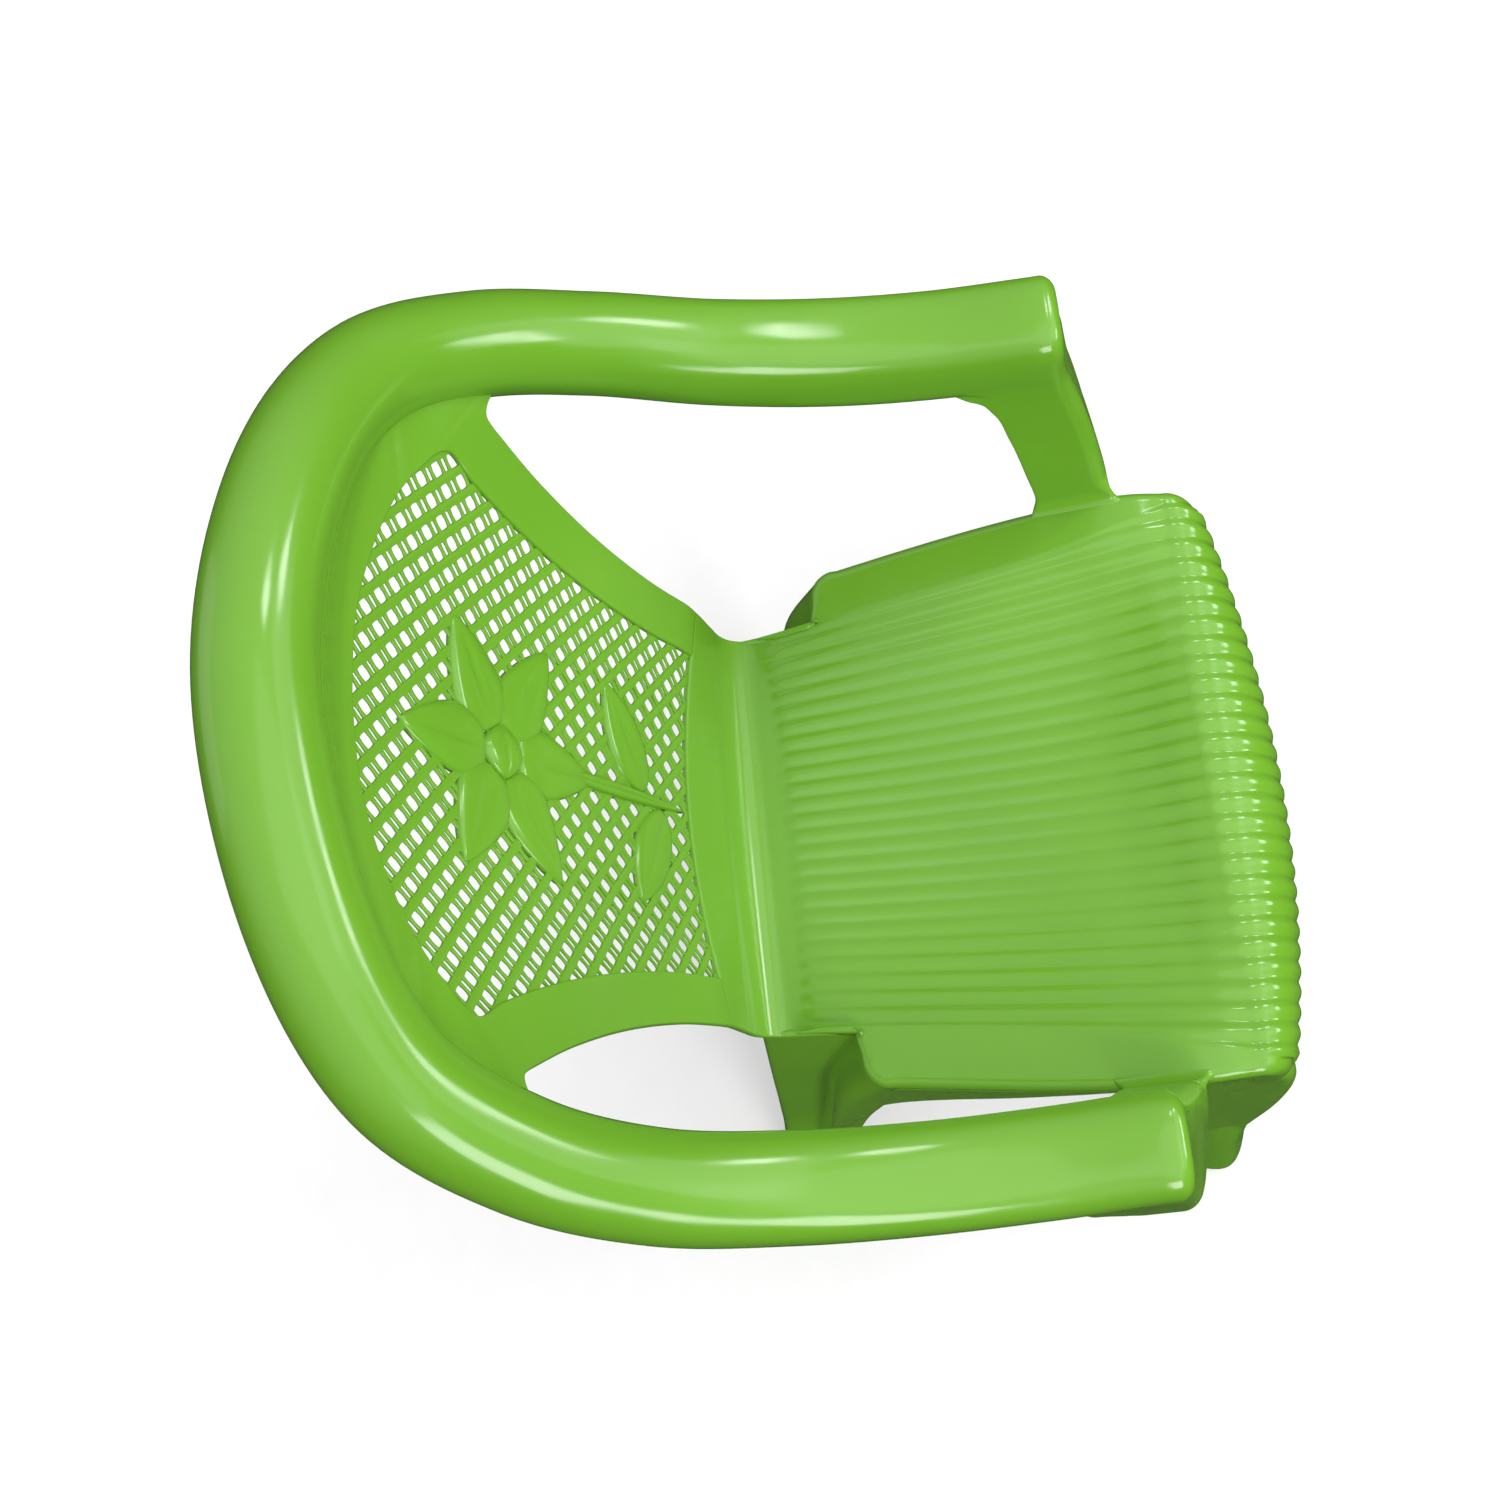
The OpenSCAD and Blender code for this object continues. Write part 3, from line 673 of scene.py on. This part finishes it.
def petal(at, angle, length, half_width, rise, points, faces, blunt=0.55):
    """Puffed petal or leaf that stands out from the lattice, with a shallow groove along its middle."""
    n, m = 25, 17
    v = np.linspace(0, 1, n)[:, None]
    u = np.linspace(-1, 1, m)[None, :]
    widest = half_width * np.sin(math.pi * v**blunt) ** 0.75
    d = np.array([math.cos(math.radians(angle)), math.sin(math.radians(angle))])
    s = np.array([-d[1], d[0]])
    x = at[0] + d[0] * length * v + s[0] * widest * u
    z = at[1] + d[1] * length * v + s[1] * widest * u
    crown = np.sqrt(np.clip(1 - np.abs(u) ** 3, 0, 1)) * np.sqrt(np.clip(np.sin(math.pi * v**0.8), 0, 1))
    groove = 0.32 * np.exp(-(u / 0.13) ** 2) * np.sin(math.pi * np.clip(v * 1.15, 0, 1))
    height = rise * (crown - groove * crown)
    base = RECESS + 0.4
    face = on_panel(x, z, base - height)
    back = on_panel(x, z, RECESS + 2.0)
    start = sum(len(p) for p in points)
    points.append(face.reshape(-1, 3))
    points.append(back.reshape(-1, 3))
    quads = grid_faces(n, m, start)
    faces.extend(quads[:, ::-1].tolist())
    faces.extend((quads + n * m).tolist())
    edge = ([i * m for i in range(n)] + [(n - 1) * m + j for j in range(1, m)]
            + [i * m + m - 1 for i in range(n - 2, -1, -1)] + list(range(m - 2, 0, -1)))
    for k, a in enumerate(edge):
        b = edge[(k + 1) % len(edge)]
        faces.append([start + a, start + b, start + b + n * m, start + a + n * m])


def flower():
    """Six petals round a heart, a stem and two leaves, welded into one piece."""
    points, faces = [], []
    for angle in range(30, 390, 60):
        turn = math.radians(angle)
        root = (FLOWER[0] + HEART * math.cos(turn), FLOWER[1] + HEART * math.sin(turn))
        petal(root, angle, 46, 14.5, 2.6, points, faces)
    petal((-11, FLOWER[1]), 0, 22, 11, 3.6, points, faces, blunt=1.0)
    petal((0, 287), 90, 106, 3.4, 2.4, points, faces, blunt=1.0)
    petal((3, 316), 32, 50, 12, 2.4, points, faces, blunt=0.8)
    petal((-3, 303), 150, 50, 12, 2.4, points, faces, blunt=0.8)
    points, faces, _ = weld(np.vstack(points), np.array(faces))
    add(make_object("flower_relief", points, faces), "back_relief")


# ---------- armrests and posts ----------
def end_rings(side):
    """Rings of an armrest's front end: rounded over its edge, then flat to the middle."""
    centre = np.array([side * RAIL_PATH[0][0], 0, RAIL_PATH[0][2]])
    r = superellipse(SECTION, ARM_SQUARE)
    across = np.stack([np.cos(SECTION) * side, 0 * SECTION, np.sin(SECTION)], axis=-1)
    places = [(ARM_FRONT + ARM_CORNER * (1 - math.sin(b)), RAIL_R - ARM_CORNER * (1 - math.cos(b)))
              for b in np.radians([10, 22, 34, 46, 58, 70, 80, 90])]
    places += [(ARM_FRONT, 9.0), (ARM_FRONT, 5.0), (ARM_FRONT, 0.0)]
    rings = []
    for y, radius in places:
        ring = centre + across * (r * radius)[:, None]
        ring[:, 1] = y
        rings.append(ring)
    return np.array(rings)


def rail():
    """Both armrests and the top rail, as one channel with closed front ends."""
    grid = np.concatenate([end_rings(1)[::-1], rail_grid(), end_rings(-1)])
    add(shell("arm_and_top_rail", [grid]), "top_rail", "arm_right", "arm_left")


# The right post's outline in plan, at heights z: (z, x) of its inner and outer faces, and (z, y) of its
# front face, of the inner face's rear edge and of the outer face's rear edge
POST_INNER = [(242.7, 134), (250, 135), (270, 138), (300, 143.3), (318, 146.2), (330, 147.6),
              (337, 147.85), (343, 147.75), (349, 147.7), (354, 147.9)]
POST_OUTER = [(242.7, 135.4), (245, 136.5), (248, 139), (252, 146), (262, 162), (272, 177),
              (288, 187.3), (310, 189.4), (330, 188.8), (343, 188.6), (349, 188.4), (354, 187.4)]
POST_FRONT = [(242.7, -127.3), (262, -125.2), (288, -121.5), (310, -117.4), (326, -113.8),
              (337, -111.8), (343, -111.3), (349, -110.95), (354, -110.2)]
POST_REAR = [(242.7, -93.7), (250, -93.5), (270, -90.5), (300, -85), (322, -79), (331, -73),
             (336, -64.5), (339.5, -57), (354, -54)]
POST_BACK = [(242.7, -121), (250, -119), (262, -110), (288, -98), (310, -86), (330, -75), (354, -70)]
POST_RADIUS = 7.0          # radius of the post's two front edges
POST_FLARE = 5.5           # how far the post spreads at its foot
FLARE_TOP = 250.7          # height where it starts to spread
INNER_POINTS = 22          # points across the inner face
FLANGE_LEVEL = 243.2       # height that the foot's rows have before they follow the flange


def post_outline(z):
    """Outline of the right post at height z, from the inner face's rear edge round to the back."""
    xi, xo, yf, rear, back = (float(through(z, table)) for table in
                              (POST_INNER, POST_OUTER, POST_FRONT, POST_REAR, POST_BACK))
    flare = POST_FLARE * (1 - math.sqrt(1 - min(max((FLARE_TOP - z) / 8.0, 0), 1) ** 2))
    xi -= flare
    yf -= flare
    rear += 1.1 * flare
    r = min(POST_RADIUS, (xo - xi) / 2.2)
    arc = np.radians(np.linspace(0, 90, 13))[1:]
    row = [(xi, y, z) for y in np.linspace(rear, yf + r, INNER_POINTS)]
    row += [(xi + r - r * math.cos(b), yf + r - r * math.sin(b), z) for b in arc]
    row += [(x, yf, z) for x in np.linspace(xi + r, xo - r, 12)[1:]]
    row += [(xo - r + r * math.sin(b), yf + r - r * math.cos(b), z) for b in arc]
    row += [(xo, y, z) for y in np.linspace(yf + r, back, 14)[1:]]
    row = np.array(row)
    inner = row[:INNER_POINTS]
    inner[:, 0] += 2.2 * float(smooth((z - 332.5) / 5)) * smooth((inner[:, 1] - rear + 13) / 13)
    turned = 0.13 * float(smooth((z - 246) / 16) * (1 - smooth((z - 305) / 28)))
    row[:, 1] += turned * np.maximum(row[:, 0] - xi - r, 0) * np.clip((back - row[:, 1]) / 20, 0, 1)
    row[:, 0] += 0.0366 * np.maximum(row[:, 1] + 99, 0) * float(smooth((z - 312) / 24))
    return row


def post_grid():
    """Right post: a channel open to the back, that widens from the flange up to the armrest."""
    rows = []
    for z in np.concatenate([np.linspace(242.7, 251, 26), np.linspace(251, 337, 86)[1:],
                             np.linspace(337, 354, 18)[1:]]):
        row = post_outline(z)
        y = np.clip(row[:, 1], ROLL_Y, NOTCH_Y)
        over_rim = np.clip(row[:, 0] - flange_x(y) + 5, 0, 4.9)
        row[:, 2] += (side_z(y) - FLANGE_LEVEL) * float(smooth((262 - z) / 19))
        row[:, 2] -= (5 - np.sqrt(25 - over_rim**2)) * float(smooth((246.5 - z) / 3.8))
        rows.append(row)
    return np.array(rows)


def posts():
    """The two posts between the seat's flanges and the armrests."""
    grid = post_grid()
    add(shell("post_right_shell", [grid]), "post_right")
    add(shell("post_left_shell", [mirrored_grid(grid)]), "post_left")


# ---------- skirts and legs ----------
SKIRT_TOP = [(3, 236), (14, 195), (20, 179)]  # (y, z) of its upper edge, where it ends in the rear leg
SKIRT_LOW = [(-98, 226.5), (-95, 227), (-70, 222), (-43, 212), (-17, 203), (0, 194), (10, 186), (16, 179),
             (20, 171)]    # (y, z) of its lower edge


def skirt_grid():
    """Outer face of the right skirt, under the flange between the legs."""
    rows = []
    for y in np.linspace(-98, 20, 60):
        level = float(side_z(y)) - 8
        top = min(level, float(through(y, SKIRT_TOP)))
        low = float(through(y, SKIRT_LOW))
        edge = float(flange_x(y)) + 0.1
        rows.append([(edge + 0.05 * (level - z), y, z) for z in np.linspace(top, low, 14)])
    return np.array(rows)


# The right front leg at heights z: (z, y) of its front wall, (z, x) of that wall's inner edge, (z, y) of
# the side wall's rear edge, and (z, radius) of the corner between the walls
LEG_FRONT = [(232, -154), (220, -161), (207, -167.2), (195, -169.8), (180, -170.5), (160, -170),
             (120, -167), (80, -162.5), (40, -158.5), (0, -159)]
LEG_INNER = [(232, 127), (200, 127), (180, 124), (162, 112), (120, 107), (90, 109), (40, 119), (0, 126)]
LEG_REAR = [(232, -118), (214, -108), (200, -102), (180, -103), (120, -113), (70, -119), (0, -124)]
LEG_CORNER = [(232, 6), (120, 8), (70, 12), (0, 16)]


def front_leg_grid():
    """Outer face of the right front leg: front wall, rounded corner and side wall, flaring to the foot."""
    rows = []
    for z in np.concatenate([np.linspace(232, 90, 72), np.linspace(90, 0, 61)[1:]]):
        side = 133.6 + 0.06 * (228 - z)
        front, inner, rear, r = (float(through(z, table)) for table in
                                 (LEG_FRONT, LEG_INNER, LEG_REAR, LEG_CORNER))
        arc = np.radians(np.linspace(0, 90, 15))[1:]
        row = [(x, front, z) for x in np.linspace(inner, side - r, 16)]
        row += [(side - r + r * math.sin(b), front + r - r * math.cos(b), z) for b in arc]
        row += [(side, y, z) for y in np.linspace(front + r, rear, 30)[1:]]
        row = np.array(row)
        arch = 80 - 46 * ((row[:, 1] + 143) / 18.5) ** 2
        near_side = smooth((row[:, 0] - (side - r)) / r)
        row[:, 0] += 0.135 * np.maximum(arch - z, 0) * near_side
        rows.append(row)
    return np.array(rows)[:, ::-1]


# The right rear leg at heights z: its five corners in plan, from the outer panel to the rear wall
REAR_LEG = [(234, (122, 2), (121.4, 17.4), (96.9, 18.6), (93.6, 61), (70, 62)),
            (195, (123.6, 12), (123, 34), (103.5, 36.2), (99.8, 65.5), (78, 66.5)),
            (155, (125.5, 26), (126, 43), (109, 45.4), (105.5, 70.2), (86, 71.2)),
            (130, (127.3, 33), (127.5, 47.6), (113, 50.4), (109, 73), (91, 74)),
            (100, (129.5, 41.5), (130, 53), (118, 57), (113.3, 76.5), (97, 77.5)),
            (70, (131.5, 50), (133, 58), (124.5, 64), (118.5, 80), (103, 81)),
            (40, (133, 57), (137, 63.5), (132.5, 70.5), (126.5, 84), (111, 85)),
            (0, (135, 64.5), (146, 69), (147, 79), (137, 88), (119, 88))]
REAR_LEG_CONE = [(234, 12.5), (195, 9), (155, 5), (120, 2.2), (80, 1.6), (0, 1.6)]  # its first radius
REAR_LEG_RADII = (2.2, 3.2)  # its other two radii


def rear_leg_grid():
    """Outer face of the right rear leg: outer panel, step, recessed panel and rear wall."""
    rows = []
    for z in np.linspace(234, 0, 120):
        corners = [np.array([float(through(z, [(level[0], level[k][c]) for level in REAR_LEG]))
                             for c in (0, 1)]) for k in range(1, 6)]
        cone = float(through(z, REAR_LEG_CONE))
        row = rounded_line(corners, (cone, *REAR_LEG_RADII), (10, 12, 22, 12))
        row = np.array([(x, y, z) for x, y in row])
        middle = 0.5 * (corners[2] + corners[3])
        arch = 96 - 40 * ((row[:, 1] - middle[1]) / 15) ** 2
        recess = smooth((row[:, 1] - corners[2][1]) / 3) * smooth((corners[3][1] + 1 - row[:, 1]) / 3)
        row[:, 0] += 0.05 * np.maximum(arch - z, 0) * recess
        rows.append(row)
    return np.array(rows)[:, ::-1]


def rounded_line(corners, radii, counts):
    """Open line through the corners in plan, with each inner corner rounded off."""
    line = []
    for k in range(len(corners) - 1):
        a, b = corners[k], corners[k + 1]
        way = unit(b - a)
        a_cut = radii[k - 1] if k > 0 else 0
        b_cut = radii[k] if k < len(radii) else 0
        start, end = a + way * a_cut, b - way * b_cut
        line += [mix(start, end, t) for t in np.linspace(0, 1, counts[k])]
        if k < len(corners) - 2:
            after = b + unit(corners[k + 2] - b) * b_cut
            line += [mix(mix(end, b, t), mix(b, after, t), t) for t in np.linspace(0, 1, 14)[1:-1]]
    return line


# Outlines in plan of the plates that close the right feet
FRONT_PLATE = [(127, -157.5), (140, -157), (147.5, -153.5), (153, -149), (155.5, -143), (155, -135),
               (150.5, -126), (140, -126), (127, -137)]
REAR_PLATE = [(136, 66.5), (144.5, 70.5), (145, 78.5), (139, 85), (135, 86.5), (120, 86.5), (120, 74)]


def foot_plate(outline, side):
    """Flat plate that closes a foot, just inside its wall."""
    outline = np.array(outline, float) * (side, 1)
    n = len(outline)
    low = np.column_stack([outline, np.full(n, 0.02)])
    high = np.column_stack([outline, np.full(n, WALL)])
    faces = [[k, (k + 1) % n, n + (k + 1) % n, n + k] for k in range(n)]
    faces += [list(reversed(range(n))), [n + k for k in range(n)]]
    return np.vstack([low, high]), faces


def legs_and_skirts():
    """Skirts, front legs and rear legs, each on the right and mirrored on the left."""
    kinds = [("skirt", skirt_grid(), None), ("front_leg", front_leg_grid(), FRONT_PLATE),
             ("rear_leg", rear_leg_grid(), REAR_PLATE)]
    for kind, grid, outline in kinds:
        plates = [foot_plate(outline, side) if outline else None for side in (1, -1)]
        add(shell(f"{kind}_right_shell", [grid], plate=plates[0]), f"{kind}_right")
        add(shell(f"{kind}_left_shell", [mirrored_grid(grid)], plate=plates[1]), f"{kind}_left")


# ---------- material ----------
def node(tree, kind, **inputs):
    """New shader node with these inputs set, where _ in a name stands for a space."""
    made = tree.nodes.new(kind)
    for key, value in inputs.items():
        made.inputs[key.replace("_", " ")].default_value = value
    return made


def new_material(name):
    """Material with nodes: itself, its node tree, its shader and the object's own coordinates."""
    material = bpy.data.materials.new(name)
    material.use_nodes = True
    tree = material.node_tree
    place = tree.nodes.new("ShaderNodeTexCoord")
    return material, tree, tree.nodes["Principled BSDF"], place.outputs["Object"]


def noise(tree, place, scale, detail, roughness=0.5):
    """Output of a noise texture that is fixed to the object."""
    made = node(tree, "ShaderNodeTexNoise", Scale=scale, Detail=detail, Roughness=roughness)
    tree.links.new(place, made.inputs["Vector"])
    return made.outputs["Fac"]


def tint(tree, factor, low, high):
    """Output of a ramp between two colours, each given with its position."""
    ramp = tree.nodes.new("ShaderNodeValToRGB")
    for element, (position, colour) in zip(ramp.color_ramp.elements, (low, high)):
        element.position = position
        element.color = (*colour, 1)
    tree.links.new(factor, ramp.inputs["Fac"])
    return ramp.outputs["Color"]


GRAIN_SHARE = 0.006        # height of the fine grain, as a part of the waviness
LIME_SHADE = (0.15, 0.37, 0.026)
LIME_DEEP = (0.137, 0.35, 0.022)


def plastic(name, shade, deep):
    """Glossy polypropylene: slightly uneven colour and gloss, with a faint moulded waviness."""
    material, tree, shader, place = new_material(name)
    clouds = noise(tree, place, 9.0, 3.0)
    tree.links.new(tint(tree, clouds, (0.3, deep), (0.7, shade)), shader.inputs["Base Color"])

    gloss = node(tree, "ShaderNodeMapRange", From_Min=0.3, From_Max=0.7, To_Min=0.12, To_Max=0.2)
    tree.links.new(noise(tree, place, 60.0, 4.0, 0.6), gloss.inputs["Value"])
    tree.links.new(gloss.outputs["Result"], shader.inputs["Roughness"])

    relief = tree.nodes.new("ShaderNodeMath")
    relief.operation = "MULTIPLY_ADD"
    tree.links.new(noise(tree, place, 900.0, 2.0), relief.inputs[0])
    relief.inputs[1].default_value = GRAIN_SHARE
    tree.links.new(noise(tree, place, 22.0, 1.0, 0.4), relief.inputs[2])
    bump = node(tree, "ShaderNodeBump", Strength=0.14, Distance=0.0006)
    tree.links.new(relief.outputs["Value"], bump.inputs["Height"])
    tree.links.new(bump.outputs["Normal"], shader.inputs["Normal"])

    shader.inputs["IOR"].default_value = 1.49
    shader.inputs["Subsurface Weight"].default_value = 0.12
    shader.inputs["Subsurface Radius"].default_value = (0.004, 0.008, 0.002)
    shader.inputs["Subsurface Scale"].default_value = 1.0
    return material


def floor_material():
    """Pale matt floor with a barely uneven tone."""
    material, tree, shader, place = new_material("pale_floor")
    tone = tint(tree, noise(tree, place, 40.0, 3.0), (0.0, (0.86, 0.86, 0.86)), (1.0, (0.9, 0.9, 0.9)))
    tree.links.new(tone, shader.inputs["Base Color"])
    shader.inputs["Roughness"].default_value = 0.7
    shader.inputs["Specular IOR Level"].default_value = 0.1
    return material


# ---------- stage ----------
# Radius and height in metres of the floor's rings, from its middle up its backdrop
STAGE_PROFILE = [(0, 0), (1.5, 0), (3.2, 0), (4.0, 0.1), (4.5, 0.4), (4.8, 1.0), (4.95, 2.2), (5, 5)]
STAGE_TURNS = 96           # points in each ring


def stage():
    """Round floor that curves up into a backdrop. It gives no light back to the chair."""
    turns = STAGE_TURNS
    points = [(0.0, 0.0, 0.0)]
    for radius, height in STAGE_PROFILE[1:]:
        points += [(radius * math.cos(math.tau * k / turns), radius * math.sin(math.tau * k / turns), height)
                   for k in range(turns)]
    faces = [(0, 1 + k, 1 + (k + 1) % turns) for k in range(turns)]
    for ring in range(len(STAGE_PROFILE) - 2):
        low, high = 1 + ring * turns, 1 + (ring + 1) * turns
        faces += [(low + k, high + k, high + (k + 1) % turns, low + (k + 1) % turns) for k in range(turns)]
    mesh = bpy.data.meshes.new("floor")
    mesh.from_pydata(points, [], faces)
    mesh.shade_smooth()
    floor = bpy.data.objects.new("floor", mesh)
    floor.visible_diffuse = False
    floor.visible_glossy = False
    floor.visible_shadow = False
    bpy.context.collection.objects.link(floor)
    mesh.materials.append(floor_material())


def area_light(name, place, target, width, height, power):
    """White rectangular light that faces the target."""
    light = bpy.data.lights.new(name, "AREA")
    light.shape = "RECTANGLE"
    light.size = width
    light.size_y = height
    light.energy = power
    obj = bpy.data.objects.new(name, light)
    obj.location = place
    obj.rotation_euler = (target - place).to_track_quat("-Z", "Y").to_euler()
    bpy.context.collection.objects.link(obj)


LIT_PLACE = (0, 0, 0.35)   # the place at which every light is aimed, in metres
WINDOW_DISTANCE = 2.2      # from there to each light
# Each light is (name, azimuth from the chair's front towards +X, elevation, width, height, watts)
WINDOWS = [("overhead", -30, 56, 2.3, 2.3, 15), ("left_window", -68, 16, 0.7, 0.9, 18),
           ("right_window_near", 36, 24, 0.3, 0.4, 5), ("right_window_far", 47, 46, 0.3, 0.4, 5),
           ("front_low", 4, 6, 0.8, 0.35, 9), ("back_fill", 165, 14, 1.6, 1.2, 4),
           ("front_fill", 6, 24, 2.2, 1.4, 12)]


def sky():
    """White surroundings, bright overhead and dark below the horizon."""
    world = bpy.data.worlds.new("studio")
    world.use_nodes = True
    tree = world.node_tree
    background = tree.nodes["Background"]
    background.inputs["Color"].default_value = (1, 1, 1, 1)
    place = tree.nodes.new("ShaderNodeTexCoord")
    height = tree.nodes.new("ShaderNodeSeparateXYZ")
    level = node(tree, "ShaderNodeMapRange", From_Min=-0.05, From_Max=0.62, To_Min=0.03, To_Max=1.0)
    tree.links.new(place.outputs["Generated"], height.inputs["Vector"])
    tree.links.new(height.outputs["Z"], level.inputs["Value"])
    tree.links.new(level.outputs["Result"], background.inputs["Strength"])
    bpy.context.scene.world = world


def lights():
    """Soft studio lights round the chair."""
    target = Vector(LIT_PLACE)
    for name, azimuth, elevation, width, height, power in WINDOWS:
        turn, rise = math.radians(azimuth), math.radians(elevation)
        way = Vector((math.sin(turn) * math.cos(rise), -math.cos(turn) * math.cos(rise), math.sin(rise)))
        area_light(name, target + way * WINDOW_DISTANCE, target, width, height, power)


CAMERA_PLACE = (-0.2185, -0.0757, 1.0722)  # in metres
CAMERA_RIGHT = (-0.09243, -0.9793, -0.18007)  # direction of the picture's right side
CAMERA_BACK = (-0.29191, -0.14625, 0.9452)  # direction from the view's middle to the camera
CAMERA_LENS = 45.6         # focal length in mm, for a sensor 36 mm wide


def camera():
    """Camera at the photograph's viewing angle."""
    data = bpy.data.cameras.new("camera")
    data.lens = CAMERA_LENS
    data.sensor_width = 36.0
    data.clip_start = 0.01
    right = Vector(CAMERA_RIGHT).normalized()
    back = Vector(CAMERA_BACK)
    back = (back - right * back.dot(right)).normalized()
    rotation = Matrix((right, back.cross(right), back)).transposed().to_4x4()
    obj = bpy.data.objects.new("camera", data)
    obj.matrix_world = Matrix.Translation(CAMERA_PLACE) @ rotation
    bpy.context.collection.objects.link(obj)
    bpy.context.scene.camera = obj


bpy.context.scene.view_settings.view_transform = "Standard"
camera()
stage()
sky()
lights()
seat_and_back()
lattice()
flower()
rail()
posts()
legs_and_skirts()

LIME = plastic("lime_polypropylene", LIME_SHADE, LIME_DEEP)
for made_piece in PIECES.values():
    made_piece.data.materials.append(LIME)
